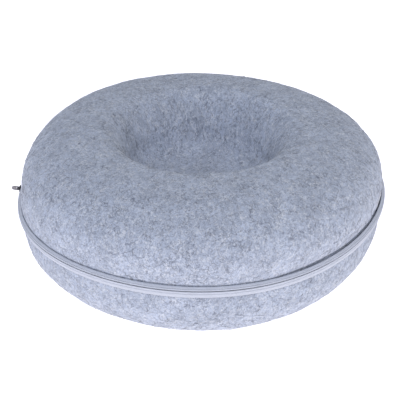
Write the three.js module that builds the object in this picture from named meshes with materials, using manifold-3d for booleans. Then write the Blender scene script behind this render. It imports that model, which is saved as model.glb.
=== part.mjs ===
// A round ring cushion of moulded wool felt, lying flat: two filled halves, each a half ring with a shallow
// hollow in its middle, closed round the outside by one zip. All sizes are in millimetres, +Z is up and the
// cushion stands on Z = 0. The front is towards -Y, and the zip's slider is at the left, towards -X.
import * as THREE from "three";
import { mergeVertices } from "three/addons/utils/BufferGeometryUtils.js";
import Module from "manifold-3d";

// Driving dimensions of the ring's section
const HEIGHT = 195.4; // from the floor to the crown of the upper half
const UPPER_RADIUS = 250; // outer wall of the upper half at its widest
const LOWER_RADIUS = 249.5; // outer wall of the lower half at its widest
const CROWN_RADIUS = 137.5; // where the ring is highest, and where it stands on the floor
const SEAM_HEIGHT = 102; // where the halves lie on each other
const WIDEST_FROM_SEAM = 26.3; // how far above and below that each half is at its widest
const FOOT_HALF_WIDTH = 18; // half the width of the flat ring that the cushion stands on
const UPPER_FULLNESS = 2.28; // exponent of the outer wall's curve, 2 is an ellipse and more is squarer
const LOWER_FULLNESS = 2.05;
const HOLLOW_FULLNESS = 2.03;
const HOLLOW_WALL_RADIUS = 94.8; // where the hollow's wall would stand upright
const HOLLOW_WALL_FOOT = 97.4; // height of that place
const FELT_THICKNESS = 5; // each half's felt where the two lie on each other under the hollow
const FLOOR_FILLET = 30; // round foot of the hollow's wall
const FLOOR_SAG = 1.5; // the hollow's floor is this much lower in its middle

// The zip band, which stands proud between the two felt edges. Its slit lies a little above the seam, so more of
// the lower tape shows than of the upper one.
const SLIT_RISE = 2.1;
const BAND_RADIUS = 253.9; // at the slit, where the two tapes meet
const UPPER_BAND = { side: 1, height: 4.8, edgeRadius: 249.6 }; // from the slit to the felt
const LOWER_BAND = { side: -1, height: 10.4, edgeRadius: 251.6 };
const BAND_FULLNESS = 2.6; // exponent of the band's round back
const SLIT_HALF = 0.9;
const TAPE_THICKNESS = 1.4;
const TAPE_STEPS = [0.38, 0.65, 0.84, 1]; // shares of a tape's height, from the slit to the felt
const FELT_BEHIND_FROM = 0.8; // share of a tape's height from which the felt lies close behind it
const CHAIN_HALF_WIDTH = 2; // the interlocked coil behind the slit
const CHAIN_THICKNESS = 1.9;
const CHAIN_SETBACK = 1.3; // behind the crown of the band's back, so that the tapes' bow clears the coil
const UPPER_DRAW_IN = 1.6; // how far the felt edges curl in to the tapes
const LOWER_DRAW_IN = 1.8;
const EDGE_CURL = 5; // height over which they do
const EDGE_CURL_STEPS = [
  { rise: 0, drawIn: 1 },
  { rise: 0.3, drawIn: 0.35 },
  { rise: 1, drawIn: 0.1 },
]; // shares of the curl's height and of the draw-in, from the felt's lip outwards

// The slider and its pull, at the left of the zip. The zip runs level, so the pull swings about an upright
// line and its own weight doesn't lay it down.
const SLIDER_ANGLE = Math.PI;
const SLIDER_LENGTH = 11;
const SLIDER_HEIGHT = 8.4; // over its shoulders
const SLIDER_TAIL_HEIGHT = 5.4;
const SLIDER_CORNER = 1.4;
const SLIDER_PLATE = 1.3;
const KEEL_LENGTH = 7; // the rib that runs in the slit
const KEEL_HEIGHT = 1;
const KEEL_DEPTH = 1.2;
const BRIDGE_LENGTH = 7.6;
const BRIDGE_HEIGHT = 2.2;
const BRIDGE_RISE = 3.5;
const BRIDGE_BAR = 1.1;
const BRIDGE_LEAN = 0.55; // how far each end of the bridge leans in
const PULL_LENGTH = 11;
const PULL_HEIGHT = 6.4;
const PULL_ROOT_HEIGHT = 5.6;
const PULL_TIP_HEIGHT = 4.4;
const PULL_WIDEST = 0.6; // share of its length from the root
const PULL_CORNER = 1.5;
const PULL_THICKNESS = 1.5;
const PULL_EYE_LENGTH = 2.8; // the eye that takes the slider's bridge
const PULL_EYE_HEIGHT = 2.9;
const PULL_CROSSBAR = 1.5; // between the eye and the pull's end
const PULL_SWING = 0.15; // radians towards the back

const CLEARANCE = 0.3; // between pieces that lie on each other
const UNION_DEPTH = 0.2; // how far one joined shape reaches into the other
const RING_CENTRE_X = 2.2; // the pull reaches further out than the band, so the ring sits a little towards +X
const ROUND_STEPS = 72;
const WALL_STEPS = 10;
const HOLLOW_STEPS = 8;
const FILLET_STEPS = 5;
const CORNER_STEPS = 3;

// The ring isn't quite true. Each row is one slow wave round it: how often the wave repeats in a turn, and
// how far it moves the felt, in the cosine and the sine of the angle from +X.
const SEAM_OUTWARD = [
  { repeats: 1, cosine: 0.8, sine: 0 },
  { repeats: 2, cosine: 3.9, sine: 1.9 },
  { repeats: 3, cosine: 1.9, sine: 0.3 },
];
const SEAM_RISE = [
  { repeats: 1, cosine: 2.8, sine: 0.1 },
  { repeats: 2, cosine: -0.4, sine: -0.6 },
  { repeats: 3, cosine: 4.2, sine: -0.6 },
];
const BELLY_OUTWARD = [{ repeats: 1, cosine: 0.8, sine: 0 }]; // half way up the lower half
const SHOULDER_OUTWARD = [
  { repeats: 1, cosine: 1.3, sine: -0.4 },
  { repeats: 3, cosine: 2.3, sine: 0.1 },
  { repeats: 4, cosine: -0.8, sine: 1.4 },
];
const CROWN_RISE = [
  { repeats: 1, cosine: -1.2, sine: -0.4 },
  { repeats: 2, cosine: -0.5, sine: 0.5 },
  { repeats: 3, cosine: -1.3, sine: 0.3 },
];
const SHOULDER_BEGINS = CROWN_RADIUS - 20; // inside this radius the outer wall's waves have died away
const SHOULDER_FULL = CROWN_RADIUS + 45;
const SEAM_WAVE_REACH = 0.45; // share of the upper half's height over which the seam's waves fade
const HOLLOW_SHIFT_X = 1.7; // the hollow sits a little to the right of the ring's middle

const felt = new THREE.MeshStandardMaterial({ color: 0xa9b0c4, roughness: 1, metalness: 0 });
const tapeCloth = new THREE.MeshStandardMaterial({ color: 0xb9bed6, roughness: 0.85, metalness: 0 });
const chainNylon = new THREE.MeshStandardMaterial({ color: 0x8f94ac, roughness: 0.55, metalness: 0 });
const sliderMetal = new THREE.MeshStandardMaterial({ color: 0x4c4c4f, roughness: 0.35, metalness: 1 });
const pullMetal = new THREE.MeshStandardMaterial({ color: 0x9b9995, roughness: 0.4, metalness: 1 });

const point = (r, z) => new THREE.Vector2(r, z);

function waveSum(waves, angle) {
  return waves.reduce(
    (sum, w) => sum + w.cosine * Math.cos(w.repeats * angle) + w.sine * Math.sin(w.repeats * angle),
    0,
  );
}

// Moves a place on the true ring to where the uneven ring has it.
function settle(place) {
  const radius = Math.hypot(place.x, place.y);
  const angle = Math.atan2(place.y, place.x);
  const outer = THREE.MathUtils.smoothstep(radius, SHOULDER_BEGINS, SHOULDER_FULL);
  const wall = Math.min(1, radius / HOLLOW_WALL_RADIUS);
  const seamOut = waveSum(SEAM_OUTWARD, angle);
  const seamUp = waveSum(SEAM_RISE, angle);
  if (place.z < SEAM_HEIGHT) {
    const fade = place.z / SEAM_HEIGHT;
    const belly = 4 * fade * (1 - fade) * waveSum(BELLY_OUTWARD, angle);
    const lowerRadius = radius + outer * (fade * seamOut + belly);
    return new THREE.Vector3(
      RING_CENTRE_X + lowerRadius * Math.cos(angle),
      lowerRadius * Math.sin(angle),
      place.z + outer * fade * seamUp,
    );
  }
  const climb = Math.min(1, (place.z - SEAM_HEIGHT) / (HEIGHT - SEAM_HEIGHT));
  const shoulder = THREE.MathUtils.smoothstep(climb, 0, SEAM_WAVE_REACH);
  const outward = THREE.MathUtils.lerp(seamOut, waveSum(SHOULDER_OUTWARD, angle), shoulder);
  const upperRadius = radius + outer * outward;
  return new THREE.Vector3(
    RING_CENTRE_X + upperRadius * Math.cos(angle) + (1 - outer) * climb * HOLLOW_SHIFT_X,
    upperRadius * Math.sin(angle),
    place.z + outer * (1 - climb) * seamUp + wall * climb * waveSum(CROWN_RISE, angle),
  );
}

// A closed section turned round the Z axis and made uneven. Its faces point outwards whichever way it runs.
function turnedRing(name, section, material) {
  const geometry = new THREE.LatheGeometry(section, ROUND_STEPS);
  geometry.rotateX(Math.PI / 2);
  if (THREE.ShapeUtils.area(section) < 0) {
    const corners = geometry.getIndex();
    for (let i = 0; i < corners.count; i += 3) {
      const second = corners.getX(i + 1);
      corners.setX(i + 1, corners.getX(i + 2));
      corners.setX(i + 2, second);
    }
  }
  const places = geometry.getAttribute("position");
  const place = new THREE.Vector3();
  for (let i = 0; i < places.count; i += 1) {
    place.fromBufferAttribute(places, i);
    place.copy(settle(place));
    places.setXYZ(i, place.x, place.y, place.z);
  }
  geometry.computeVertexNormals();
  const mesh = new THREE.Mesh(geometry, material);
  mesh.name = name;
  return mesh;
}

// A quarter of a full ellipse, from an upright start to a level end.
function fullQuarter(start, end, fullness, steps) {
  return Array.from({ length: steps + 1 }, (_, i) => {
    const turn = (i / steps) * (Math.PI / 2);
    return point(
      end.x + (start.x - end.x) * Math.cos(turn) ** (2 / fullness),
      start.y + (end.y - start.y) * Math.sin(turn) ** (2 / fullness),
    );
  });
}

// A place in the zip band: how far from the slit along the band's face, and how deep under that face.
function bandPlace(band, fromSlit, depth) {
  const bulge = BAND_RADIUS - band.edgeRadius;
  const share = fromSlit / band.height;
  const slope = (bulge * BAND_FULLNESS * share ** (BAND_FULLNESS - 1)) / band.height;
  const inward = depth / Math.hypot(1, slope);
  return point(
    BAND_RADIUS - bulge * share ** BAND_FULLNESS - inward,
    SEAM_HEIGHT + SLIT_RISE + band.side * (fromSlit - slope * inward),
  );
}

// The felt edge from the seam, behind the chain and the tape, out to where the wall begins.
function feltEdge(band, wallRadius, drawIn) {
  const behindChain = BAND_RADIUS - TAPE_THICKNESS - CHAIN_SETBACK - CHAIN_THICKNESS - CLEARANCE;
  const behindTape = TAPE_STEPS.filter((share) => share > FELT_BEHIND_FROM).map((share) =>
    bandPlace(band, share * band.height, TAPE_THICKNESS + 2 * CLEARANCE),
  );
  const lip = SEAM_HEIGHT + SLIT_RISE + band.side * (band.height + CLEARANCE);
  return [
    point(behindChain, SEAM_HEIGHT + (band.side * CLEARANCE) / 2),
    ...behindTape.map((p) => point(Math.min(p.x, behindChain), p.y)),
    ...EDGE_CURL_STEPS.map((step) =>
      point(wallRadius - drawIn * step.drawIn, lip + band.side * EDGE_CURL * step.rise),
    ),
  ];
}

// The hollow from beside its rim to the middle of its floor: a curved wall, a round foot and a nearly level
// floor. The lower half has the same hollow turned over.
function hollowSection(rim, wallFoot, floorHeight, middleHeight) {
  const toFloor = Math.sign(floorHeight - rim.y);
  const wall = fullQuarter(wallFoot, rim, HOLLOW_FULLNESS, HOLLOW_STEPS)
    .reverse()
    .slice(1)
    .filter((p) => toFloor * (floorHeight - p.y) > FLOOR_FILLET);
  const wallEnd = wall[wall.length - 1].x;
  const fillet = Array.from({ length: FILLET_STEPS }, (_, i) => {
    const turn = ((i + 1) / FILLET_STEPS) * (Math.PI / 2);
    return point(
      wallEnd - FLOOR_FILLET * (1 - Math.cos(turn)),
      floorHeight - toFloor * FLOOR_FILLET * (1 - Math.sin(turn)),
    );
  });
  const halfWay = point((wallEnd - FLOOR_FILLET) / 2, (floorHeight + middleHeight) / 2);
  return [...wall, ...fillet, halfWay, point(0, middleHeight)];
}

// The level faces where the halves lie on each other, from the middle out.
function partingFace(side) {
  return [0, HOLLOW_WALL_RADIUS, SHOULDER_BEGINS, SHOULDER_FULL].map((r) =>
    point(r, SEAM_HEIGHT + (side * CLEARANCE) / 2),
  );
}

function upperHalf() {
  const crown = point(CROWN_RADIUS, HEIGHT);
  const widest = point(UPPER_RADIUS, SEAM_HEIGHT + WIDEST_FROM_SEAM);
  const wallFoot = point(HOLLOW_WALL_RADIUS, HOLLOW_WALL_FOOT);
  const floorHeight = SEAM_HEIGHT + FELT_THICKNESS + FLOOR_SAG;
  const section = [
    ...partingFace(1),
    ...feltEdge(UPPER_BAND, UPPER_RADIUS, UPPER_DRAW_IN),
    ...fullQuarter(widest, crown, UPPER_FULLNESS, WALL_STEPS),
    ...hollowSection(crown, wallFoot, floorHeight, floorHeight - FLOOR_SAG),
  ];
  return turnedRing("upper_felt_half", section, felt);
}

function lowerHalf() {
  const footOut = point(CROWN_RADIUS + FOOT_HALF_WIDTH, 0);
  const footIn = point(CROWN_RADIUS - FOOT_HALF_WIDTH, 0);
  const widest = point(LOWER_RADIUS, SEAM_HEIGHT - WIDEST_FROM_SEAM);
  const wallFoot = point(HOLLOW_WALL_RADIUS, 2 * SEAM_HEIGHT - HOLLOW_WALL_FOOT);
  const ceilingHeight = SEAM_HEIGHT - FELT_THICKNESS;
  const section = [
    ...partingFace(-1),
    ...feltEdge(LOWER_BAND, LOWER_RADIUS, LOWER_DRAW_IN),
    ...fullQuarter(widest, footOut, LOWER_FULLNESS, WALL_STEPS),
    footIn,
    ...hollowSection(footIn, wallFoot, ceilingHeight, ceilingHeight),
  ];
  return turnedRing("lower_felt_half", section, felt);
}

// One tape of the zip, a strip that bows outwards from the felt's edge to the slit.
function zipTape(name, band) {
  const steps = [SLIT_HALF, ...TAPE_STEPS.map((share) => share * band.height)];
  const face = steps.map((h) => bandPlace(band, h, 0));
  const back = steps.map((h) => bandPlace(band, h, TAPE_THICKNESS)).reverse();
  return turnedRing(name, [...face, ...back, face[0]], tapeCloth);
}

// The interlocked coil behind the slit, as one plain ring.
function zipChain() {
  const outside = BAND_RADIUS - TAPE_THICKNESS - CHAIN_SETBACK;
  const inside = outside - CHAIN_THICKNESS;
  const bottom = SEAM_HEIGHT + SLIT_RISE - CHAIN_HALF_WIDTH;
  const top = SEAM_HEIGHT + SLIT_RISE + CHAIN_HALF_WIDTH;
  const section = [
    point(inside, bottom),
    point(outside, bottom),
    point(outside, top),
    point(inside, top),
    point(inside, bottom),
  ];
  return turnedRing("zip_chain", section, chainNylon);
}

// A flat outline through the given corners, each of them rounded.
function roundedOutline(corners, radius) {
  const outline = new THREE.Shape();
  corners.forEach((corner, i) => {
    const before = corners[(i + corners.length - 1) % corners.length];
    const after = corners[(i + 1) % corners.length];
    const from = corner.clone().add(before.clone().sub(corner).setLength(radius));
    const to = corner.clone().add(after.clone().sub(corner).setLength(radius));
    if (i === 0) {
      outline.moveTo(from.x, from.y);
    } else {
      outline.lineTo(from.x, from.y);
    }
    outline.quadraticCurveTo(corner.x, corner.y, to.x, to.y);
  });
  outline.closePath();
  return outline;
}

function rectanglePath(left, bottom, right, top) {
  return new THREE.Path([point(left, bottom), point(left, top), point(right, top), point(right, bottom)]);
}

function extruded(shape, depth) {
  return new THREE.ExtrudeGeometry(shape, { depth, bevelEnabled: false, curveSegments: CORNER_STEPS });
}

const wasm = await Module();
wasm.setup();

function asSolid(geometry) {
  const bare = new THREE.BufferGeometry();
  bare.setAttribute("position", geometry.getAttribute("position"));
  bare.setIndex(geometry.getIndex());
  const merged = mergeVertices(bare);
  return new wasm.Manifold(
    new wasm.Mesh({
      numProp: 3,
      vertProperties: new Float32Array(merged.getAttribute("position").array),
      triVerts: new Uint32Array(merged.getIndex().array),
    }),
  );
}

function joined(geometries) {
  const whole = geometries.map(asSolid).reduce((sum, solid) => sum.add(solid));
  const { vertProperties, triVerts } = whole.getMesh();
  const geometry = new THREE.BufferGeometry();
  geometry.setAttribute("position", new THREE.BufferAttribute(vertProperties, 3));
  geometry.setIndex(new THREE.BufferAttribute(triVerts, 1));
  geometry.computeVertexNormals();
  return geometry;
}

// The slider in its own place: X along the zip, Y up, Z out of the cushion, with Z = 0 at its back.
function zipSlider() {
  const plate = extruded(
    roundedOutline(
      [
        point(-SLIDER_LENGTH / 2, -SLIDER_TAIL_HEIGHT / 2),
        point(SLIDER_LENGTH / 2, -SLIDER_HEIGHT / 2),
        point(SLIDER_LENGTH / 2, SLIDER_HEIGHT / 2),
        point(-SLIDER_LENGTH / 2, SLIDER_TAIL_HEIGHT / 2),
      ],
      SLIDER_CORNER,
    ),
    SLIDER_PLATE,
  );
  const keel = new THREE.BoxGeometry(KEEL_LENGTH, KEEL_HEIGHT, KEEL_DEPTH + UNION_DEPTH);
  keel.translate(0, 0, (UNION_DEPTH - KEEL_DEPTH) / 2);
  const foot = SLIDER_PLATE - UNION_DEPTH;
  const top = SLIDER_PLATE + BRIDGE_RISE;
  const arch = roundedOutline(
    [
      point(-BRIDGE_LENGTH / 2, foot),
      point(BRIDGE_LENGTH / 2, foot),
      point(BRIDGE_LENGTH / 2 - BRIDGE_LEAN, top),
      point(BRIDGE_LEAN - BRIDGE_LENGTH / 2, top),
    ],
    BRIDGE_BAR,
  );
  const halfWindow = BRIDGE_LENGTH / 2 - BRIDGE_LEAN - BRIDGE_BAR;
  arch.holes.push(rectanglePath(-halfWindow, SLIDER_PLATE, halfWindow, top - BRIDGE_BAR));
  const bridge = extruded(arch, BRIDGE_HEIGHT);
  bridge.rotateX(Math.PI / 2);
  bridge.translate(0, BRIDGE_HEIGHT / 2, 0);
  const mesh = new THREE.Mesh(joined([plate, keel, bridge]), sliderMetal);
  mesh.name = "zip_slider";
  return mesh;
}

// The pull, whose crossbar lies under the slider's bridge. It stands out from the zip with its broad sides
// upright.
function zipPull() {
  const root = -PULL_CROSSBAR / 2;
  const tip = root + PULL_LENGTH;
  const tab = roundedOutline(
    [
      point(-PULL_ROOT_HEIGHT / 2, root),
      point(PULL_ROOT_HEIGHT / 2, root),
      point(PULL_HEIGHT / 2, root + PULL_LENGTH * PULL_WIDEST),
      point(PULL_TIP_HEIGHT / 2, tip),
      point(-PULL_TIP_HEIGHT / 2, tip),
      point(-PULL_HEIGHT / 2, root + PULL_LENGTH * PULL_WIDEST),
    ],
    PULL_CORNER,
  );
  const eyeEnd = PULL_CROSSBAR / 2 + PULL_EYE_LENGTH;
  tab.holes.push(rectanglePath(-PULL_EYE_HEIGHT / 2, PULL_CROSSBAR / 2, PULL_EYE_HEIGHT / 2, eyeEnd));
  const geometry = extruded(tab, PULL_THICKNESS);
  geometry.translate(0, 0, -PULL_THICKNESS / 2);
  const upright = new THREE.Matrix4().makeBasis(
    new THREE.Vector3(0, 1, 0),
    new THREE.Vector3(0, 0, 1),
    new THREE.Vector3(1, 0, 0),
  );
  geometry.applyMatrix4(upright);
  const mesh = new THREE.Mesh(geometry, pullMetal);
  mesh.name = "zip_pull";
  const turnedCrossbar = (PULL_CROSSBAR / 2) * (Math.cos(PULL_SWING) + Math.sin(PULL_SWING));
  mesh.position.z = SLIDER_PLATE + CLEARANCE + turnedCrossbar;
  mesh.rotation.y = -PULL_SWING;
  return mesh;
}

// The slider and the pull on it, carried to the band's face.
function sliderOnBand() {
  const outward = new THREE.Vector3(Math.cos(SLIDER_ANGLE), Math.sin(SLIDER_ANGLE), 0);
  const upward = new THREE.Vector3(0, 0, 1);
  const face = outward.clone().multiplyScalar(BAND_RADIUS);
  face.z = SEAM_HEIGHT + SLIT_RISE;
  const group = new THREE.Group();
  group.position.copy(settle(face)).addScaledVector(outward, CLEARANCE);
  group.quaternion.setFromRotationMatrix(
    new THREE.Matrix4().makeBasis(upward.clone().cross(outward), upward, outward),
  );
  group.add(zipSlider(), zipPull());
  return group;
}

const cushion = new THREE.Group();
cushion.add(
  upperHalf(),
  lowerHalf(),
  zipTape("zip_tape_upper", UPPER_BAND),
  zipTape("zip_tape_lower", LOWER_BAND),
  zipChain(),
  sliderOnBand(),
);

export default cushion;
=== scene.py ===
import math
import random

import bmesh
import bpy
from mathutils import Matrix, Vector, noise


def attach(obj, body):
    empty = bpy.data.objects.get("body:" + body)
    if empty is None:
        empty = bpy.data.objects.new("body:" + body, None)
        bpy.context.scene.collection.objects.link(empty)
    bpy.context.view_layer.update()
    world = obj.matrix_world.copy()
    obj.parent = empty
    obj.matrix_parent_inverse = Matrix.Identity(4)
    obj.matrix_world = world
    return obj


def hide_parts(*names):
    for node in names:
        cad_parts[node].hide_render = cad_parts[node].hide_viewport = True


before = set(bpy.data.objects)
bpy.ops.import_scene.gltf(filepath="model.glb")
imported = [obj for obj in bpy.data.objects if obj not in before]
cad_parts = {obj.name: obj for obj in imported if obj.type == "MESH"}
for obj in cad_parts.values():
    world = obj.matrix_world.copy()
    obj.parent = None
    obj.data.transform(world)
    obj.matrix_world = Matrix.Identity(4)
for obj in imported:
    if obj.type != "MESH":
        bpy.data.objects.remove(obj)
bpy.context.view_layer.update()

# The studio: a white floor that glows a little, as a lit table does, in a soft even room with broad cool
# lamps, of which the high one in front does the most. The lens, the distance and the small shift are those
# that lay the cushion's outline on the photo.
RING_CENTRE_X = 0.0022
AIM_HEIGHT = 0.100
CAMERA_ELEVATION = math.radians(30.9)
CAMERA_DISTANCE = 1.27824
FLOOR_SIZE = 30
FLOOR_COLOUR = (0.2, 0.2, 0.2, 1)
FLOOR_GLOW = (0.90, 0.90, 1, 1)
FLOOR_GLOW_STRENGTH = 1.28
ROOM_COLOUR = (0.86, 0.91, 1, 1)
ROOM_STRENGTH = 0.48

# Name, place, size across and up, power in watts, colour
LAMPS = [
    ("front lamp", (0, -2.4, 0.9), (3.4, 1.2), 0.8, (0.86, 0.93, 1.14)),
    ("high lamp", (0, -2.05, 2.05), (3.2, 1.5), 21.8, (0.855, 0.92, 1.15)),
    ("left lamp", (-2.4, -0.4, 0.9), (1.6, 1.2), 2.3, (0.58, 0.87, 1.6)),
    ("right lamp", (2.4, -0.4, 1.1), (1.6, 1.2), 3.0, (0.99, 0.99, 1.08)),
]

camera_data = bpy.data.cameras.new("camera")
camera_data.lens = 80.67
camera_data.sensor_width = 36
camera_data.shift_x = 0.0013
camera_data.shift_y = -0.034
camera = bpy.data.objects.new("camera", camera_data)
camera.location = (
    RING_CENTRE_X,
    -CAMERA_DISTANCE * math.cos(CAMERA_ELEVATION),
    AIM_HEIGHT + CAMERA_DISTANCE * math.sin(CAMERA_ELEVATION),
)
camera.rotation_euler = (math.pi / 2 - CAMERA_ELEVATION, 0, 0)
bpy.context.scene.collection.objects.link(camera)
bpy.context.scene.camera = camera
bpy.context.scene.view_settings.view_transform = "Standard"


def link_object(name, mesh):
    """Makes an object of a mesh and puts it in the scene."""
    made = bpy.data.objects.new(name, mesh)
    bpy.context.scene.collection.objects.link(made)
    return made


def new_material(name):
    """Makes a material of one plain shader, and gives it with its node tree and that shader."""
    material = bpy.data.materials.new(name)
    material.use_nodes = True
    tree = material.node_tree
    tree.nodes.clear()
    output = tree.nodes.new("ShaderNodeOutputMaterial")
    shader = tree.nodes.new("ShaderNodeBsdfPrincipled")
    tree.links.new(shader.outputs["BSDF"], output.inputs["Surface"])
    return material, tree, shader


floor_mesh = bpy.data.meshes.new("floor")
floor_shape = bmesh.new()
bmesh.ops.create_grid(floor_shape, x_segments=1, y_segments=1, size=FLOOR_SIZE / 2)
floor_shape.to_mesh(floor_mesh)
floor_shape.free()
floor = link_object("floor", floor_mesh)
floor_material, _, floor_shader = new_material("pale floor")
floor_shader.inputs["Base Color"].default_value = FLOOR_COLOUR
floor_shader.inputs["Roughness"].default_value = 0.9
floor_shader.inputs["Emission Color"].default_value = FLOOR_GLOW
floor_shader.inputs["Emission Strength"].default_value = FLOOR_GLOW_STRENGTH
floor_mesh.materials.append(floor_material)

world = bpy.data.worlds.new("soft room")
bpy.context.scene.world = world
world.use_nodes = True
world.node_tree.nodes["Background"].inputs["Color"].default_value = ROOM_COLOUR
world.node_tree.nodes["Background"].inputs["Strength"].default_value = ROOM_STRENGTH

for lamp_name, lamp_place, lamp_size, lamp_power, lamp_colour in LAMPS:
    lamp_data = bpy.data.lights.new(lamp_name, "AREA")
    lamp_data.shape = "RECTANGLE"
    lamp_data.size, lamp_data.size_y = lamp_size
    lamp_data.energy = lamp_power
    lamp_data.color = lamp_colour
    lamp = bpy.data.objects.new(lamp_name, lamp_data)
    lamp.location = lamp_place
    towards = Vector((0, 0, AIM_HEIGHT)) - Vector(lamp_place)
    lamp.rotation_euler = towards.to_track_quat("-Z", "Y").to_euler()
    bpy.context.scene.collection.objects.link(lamp)


# The upper half: one sheet of thick heathered wool-like felt, pressed hot over a mould into half a ring
# with a deep hollow in its middle, and filled. Its edge turns in a little where the zip is sewn to it.
HEIGHT = 0.1954
UPPER_RADIUS = 0.250
CROWN_RADIUS = 0.1375
SEAM_HEIGHT = 0.102
WIDEST_FROM_SEAM = 0.0263
UPPER_FULLNESS = 2.28
HOLLOW_FULLNESS = 2.03
HOLLOW_WALL_RADIUS = 0.0948
HOLLOW_WALL_FOOT = 0.0974
FELT_THICKNESS = 0.005
FLOOR_FILLET = 0.030
FLOOR_SAG = 0.0015
UPPER_DRAW_IN = 0.0016
EDGE_CURL = 0.005
SLIT_RISE = 0.0021
BAND_RADIUS = 0.2539
BAND_FULLNESS = 2.6
TAPE_THICKNESS = 0.0014
CHAIN_THICKNESS = 0.0019
CHAIN_SETBACK = 0.0013
CLEARANCE = 0.0003

# The zip band: which side of the slit it lies on, how high it stands there, and its radius at the felt
UPPER_BAND = (1, 0.0048, 0.2496)
LOWER_BAND = (-1, 0.0104, 0.2516)

# How finely the ring is turned, its wedges, how near two corners are one, and how its section is divided
ROUND_STEPS = 360
WEDGES = 12
WALL_STEPS = 46
HOLLOW_STEPS = 34
FILLET_STEPS = 14
SAME_PLACE = 1e-6
JOINT_RADII = (0, 0.06, 0.12, 0.15, 0.18, 0.22)
FLOOR_SHARES = (0.93, 0.85, 0.76, 0.66, 0.55, 0.43, 0.3, 0.16, 0.06, 0)

# Where the felt follows the band behind the tape, and the turned edge: its height and how far it is in
BEHIND_TAPE_SHARES = (0.84, 0.93, 1)
CURL_SHARES = ((0, 1), (0.04, 0.82), (0.12, 0.6), (0.25, 0.4), (0.45, 0.25), (0.7, 0.16), (1, 0.1))

# Waves round the ring: how many to a turn, and their height as a cosine and as a sine
SEAM_OUTWARD = [(1, 0.0008, 0), (2, 0.0039, 0.0019), (3, 0.0019, 0.0003)]
SEAM_RISE = [(1, 0.0028, 0.0001), (2, -0.0004, -0.0006), (3, 0.0042, -0.0006)]
BELLY_OUTWARD = [(1, 0.0008, 0)]
SHOULDER_OUTWARD = [(1, 0.0013, -0.0004), (3, 0.0023, 0.0001), (4, -0.0008, 0.0014)]
CROWN_RISE = [(1, -0.0012, -0.0004), (2, -0.0005, 0.0005), (3, -0.0013, 0.0003)]
SHOULDER_BEGINS = CROWN_RADIUS - 0.020
SHOULDER_FULL = CROWN_RADIUS + 0.045
SEAM_WAVE_REACH = 0.45
HOLLOW_SHIFT_X = 0.0017

# The felt's soft unevenness: how far apart its swellings are, and how far they stand out
LUMPS = [(0.075, 0.0009), (0.030, 0.0005), (0.011, 0.00022)]
LUMPS_FADE = 0.015
LUMPS_FROM_SEAM = 0.004
ABOVE_ALL = 1

# The edge along the zip, in heights from its lip: where groove and lip begin, are full and fade out
EDGE_INNER_RADIUS = 0.23
GROOVE_BEGINS = -0.0045
GROOVE_FULL = -0.0025
LIP_BEGINS = -0.002
FADE_BEGINS = 0.001
FADED_OUT = 0.012

# How the edge wavers, each spacing with its share, and how much less deep the groove is at the lip
WAVER = [(0.012, 0.7), (0.035, 1)]
UPPER_WAVINESS = 0.0006
LIP_SPARED = 0.55

# Where the upper felt stands off from its tape: middle and half width of the stretch, lift and depth, and
# the share of the half width over which it stands off in full
UPPER_STAND_OFF = (math.radians(-36), math.radians(44), 0.0005, 0.0042)
NO_STAND_OFF = (0, 1, 0, 0)
STAND_OFF_PLATEAU = 0.3

# How far the pattern is drawn out in the hollow, and the felt's colours
HOLLOW_STRETCH = 0.5
STRETCH_FADE = 0.03
FELT_BASE = (0.508, 0.545, 0.622, 1)
FELT_DARK = (0.125, 0.133, 0.17, 1)
FELT_LIGHT = (0.91, 0.90, 0.89, 1)

# Curling fibres: their pattern, spacing and thickness, the mask's level that hides them, and their strength
DARK_FIBRES = [
    (1.3, 0.0120, 0.026, 0.50, 0.56),
    (4.7, 0.0062, 0.038, 0.47, 0.49),
    (7.7, 0.0039, 0.054, 0.42, 0.47),
]
LIGHT_FIBRES = [
    (8.1, 0.0110, 0.026, 0.49, 0.50),
    (12.9, 0.0056, 0.038, 0.47, 0.47),
    (17.3, 0.0036, 0.054, 0.43, 0.45),
]
MASK_PATTERN = 50
MASK_SCALE = 0.8
MASK_EDGE = 0.09
FIBRE_RELIEF = 0.5

# The range in which nearly all values of a noise lie
NOISE_RANGE = (0.3, 0.7)


def smooth_step(value, low, high):
    """A share that grows smoothly from 0 at the low value to 1 at the high one."""
    share = min(1, max(0, (value - low) / (high - low)))
    return share * share * (3 - 2 * share)


def wave_sum(waves, angle):
    """The height of some waves together at an angle round the ring."""
    return sum(c * math.cos(k * angle) + s * math.sin(k * angle) for k, c, s in waves)


def settled(place):
    """Moves a place on the true ring to where the uneven ring has it."""
    radius = math.hypot(place.x, place.y)
    angle = math.atan2(place.y, place.x)
    outer = smooth_step(radius, SHOULDER_BEGINS, SHOULDER_FULL)
    wall = min(1, radius / HOLLOW_WALL_RADIUS)
    seam_out = wave_sum(SEAM_OUTWARD, angle)
    seam_up = wave_sum(SEAM_RISE, angle)
    if place.z < SEAM_HEIGHT:
        fade = place.z / SEAM_HEIGHT
        belly = 4 * fade * (1 - fade) * wave_sum(BELLY_OUTWARD, angle)
        radius += outer * (fade * seam_out + belly)
        rise = outer * fade * seam_up
        shift = 0
    else:
        climb = min(1, (place.z - SEAM_HEIGHT) / (HEIGHT - SEAM_HEIGHT))
        shoulder = smooth_step(climb, 0, SEAM_WAVE_REACH)
        outward = seam_out + (wave_sum(SHOULDER_OUTWARD, angle) - seam_out) * shoulder
        radius += outer * outward
        rise = outer * (1 - climb) * seam_up + wall * climb * wave_sum(CROWN_RISE, angle)
        shift = (1 - outer) * climb * HOLLOW_SHIFT_X
    x = RING_CENTRE_X + shift + radius * math.cos(angle)
    return Vector((x, radius * math.sin(angle), place.z + rise))


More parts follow.
